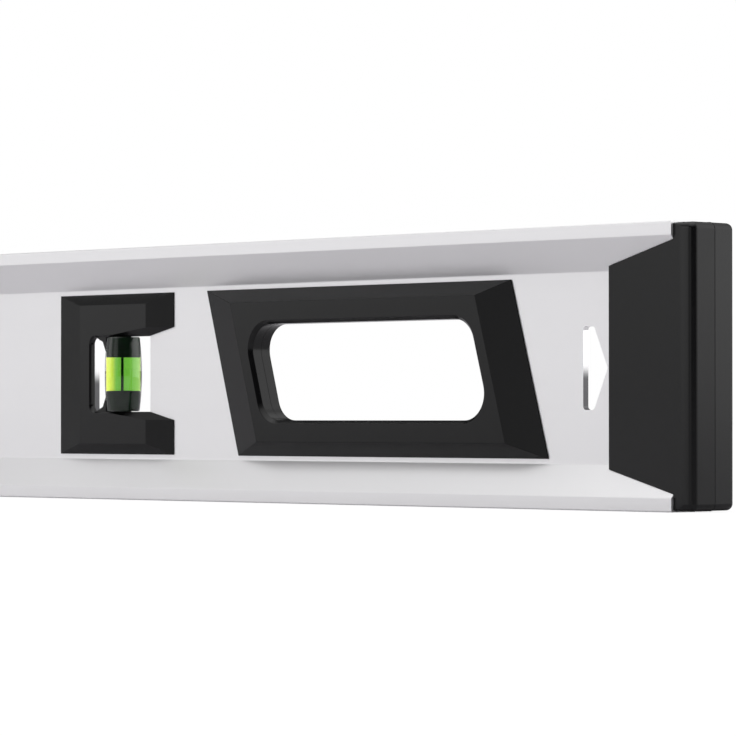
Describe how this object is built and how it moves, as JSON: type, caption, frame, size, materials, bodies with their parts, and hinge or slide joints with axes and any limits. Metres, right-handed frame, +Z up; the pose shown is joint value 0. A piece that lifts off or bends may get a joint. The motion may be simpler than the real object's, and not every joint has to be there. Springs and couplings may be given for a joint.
{
  "type": "straightedge",
  "caption": "Aluminium H-section plasterer's straightedge with moulded end caps, hand grips, plumb vials near the ends and a level vial in the middle.",
  "frame": {"origin": "middle of the lower working edge, on the surface that the tool stands on", "axes": "+X along the tool towards its right end, +Y from the front to the back, +Z up from the lower working edge to the upper one"},
  "size_m": [1.0208, 0.022, 0.1],
  "materials": {
    "profile": "natural anodised, satin",
    "end_cap": "black moulded, fine matt",
    "grip": "black moulded, fine matt",
    "vial_housing": "black moulded, fine matt",
    "vial": "clear acrylic, polished",
    "vial_plug": "black, smooth",
    "vial_liquid": "clear green liquid"
  },
  "bodies": {
    "root": {"profile": "profile", "end_cap_right": "end_cap", "end_cap_left": "end_cap", "grip_front_right": "grip", "grip_back_right": "grip", "grip_front_left": "grip", "grip_back_left": "grip", "plumb_housing_front_right": "vial_housing", "plumb_housing_back_right": "vial_housing", "plumb_housing_front_left": "vial_housing", "plumb_housing_back_left": "vial_housing", "level_housing_front": "vial_housing", "level_housing_back": "vial_housing", "plumb_vial_right": "vial", "plumb_vial_left": "vial", "level_vial": "vial", "plumb_vial_cup_plug_right": "vial_plug", "plumb_vial_plug_right": "vial_plug", "plumb_vial_cup_plug_left": "vial_plug", "plumb_vial_plug_left": "vial_plug", "level_vial_cup_plug": "vial_plug", "level_vial_plug": "vial_plug", "plumb_vial_liquid_right": "vial_liquid", "plumb_vial_liquid_left": "vial_liquid", "level_vial_liquid": "vial_liquid"}
  },
  "joints": []
}
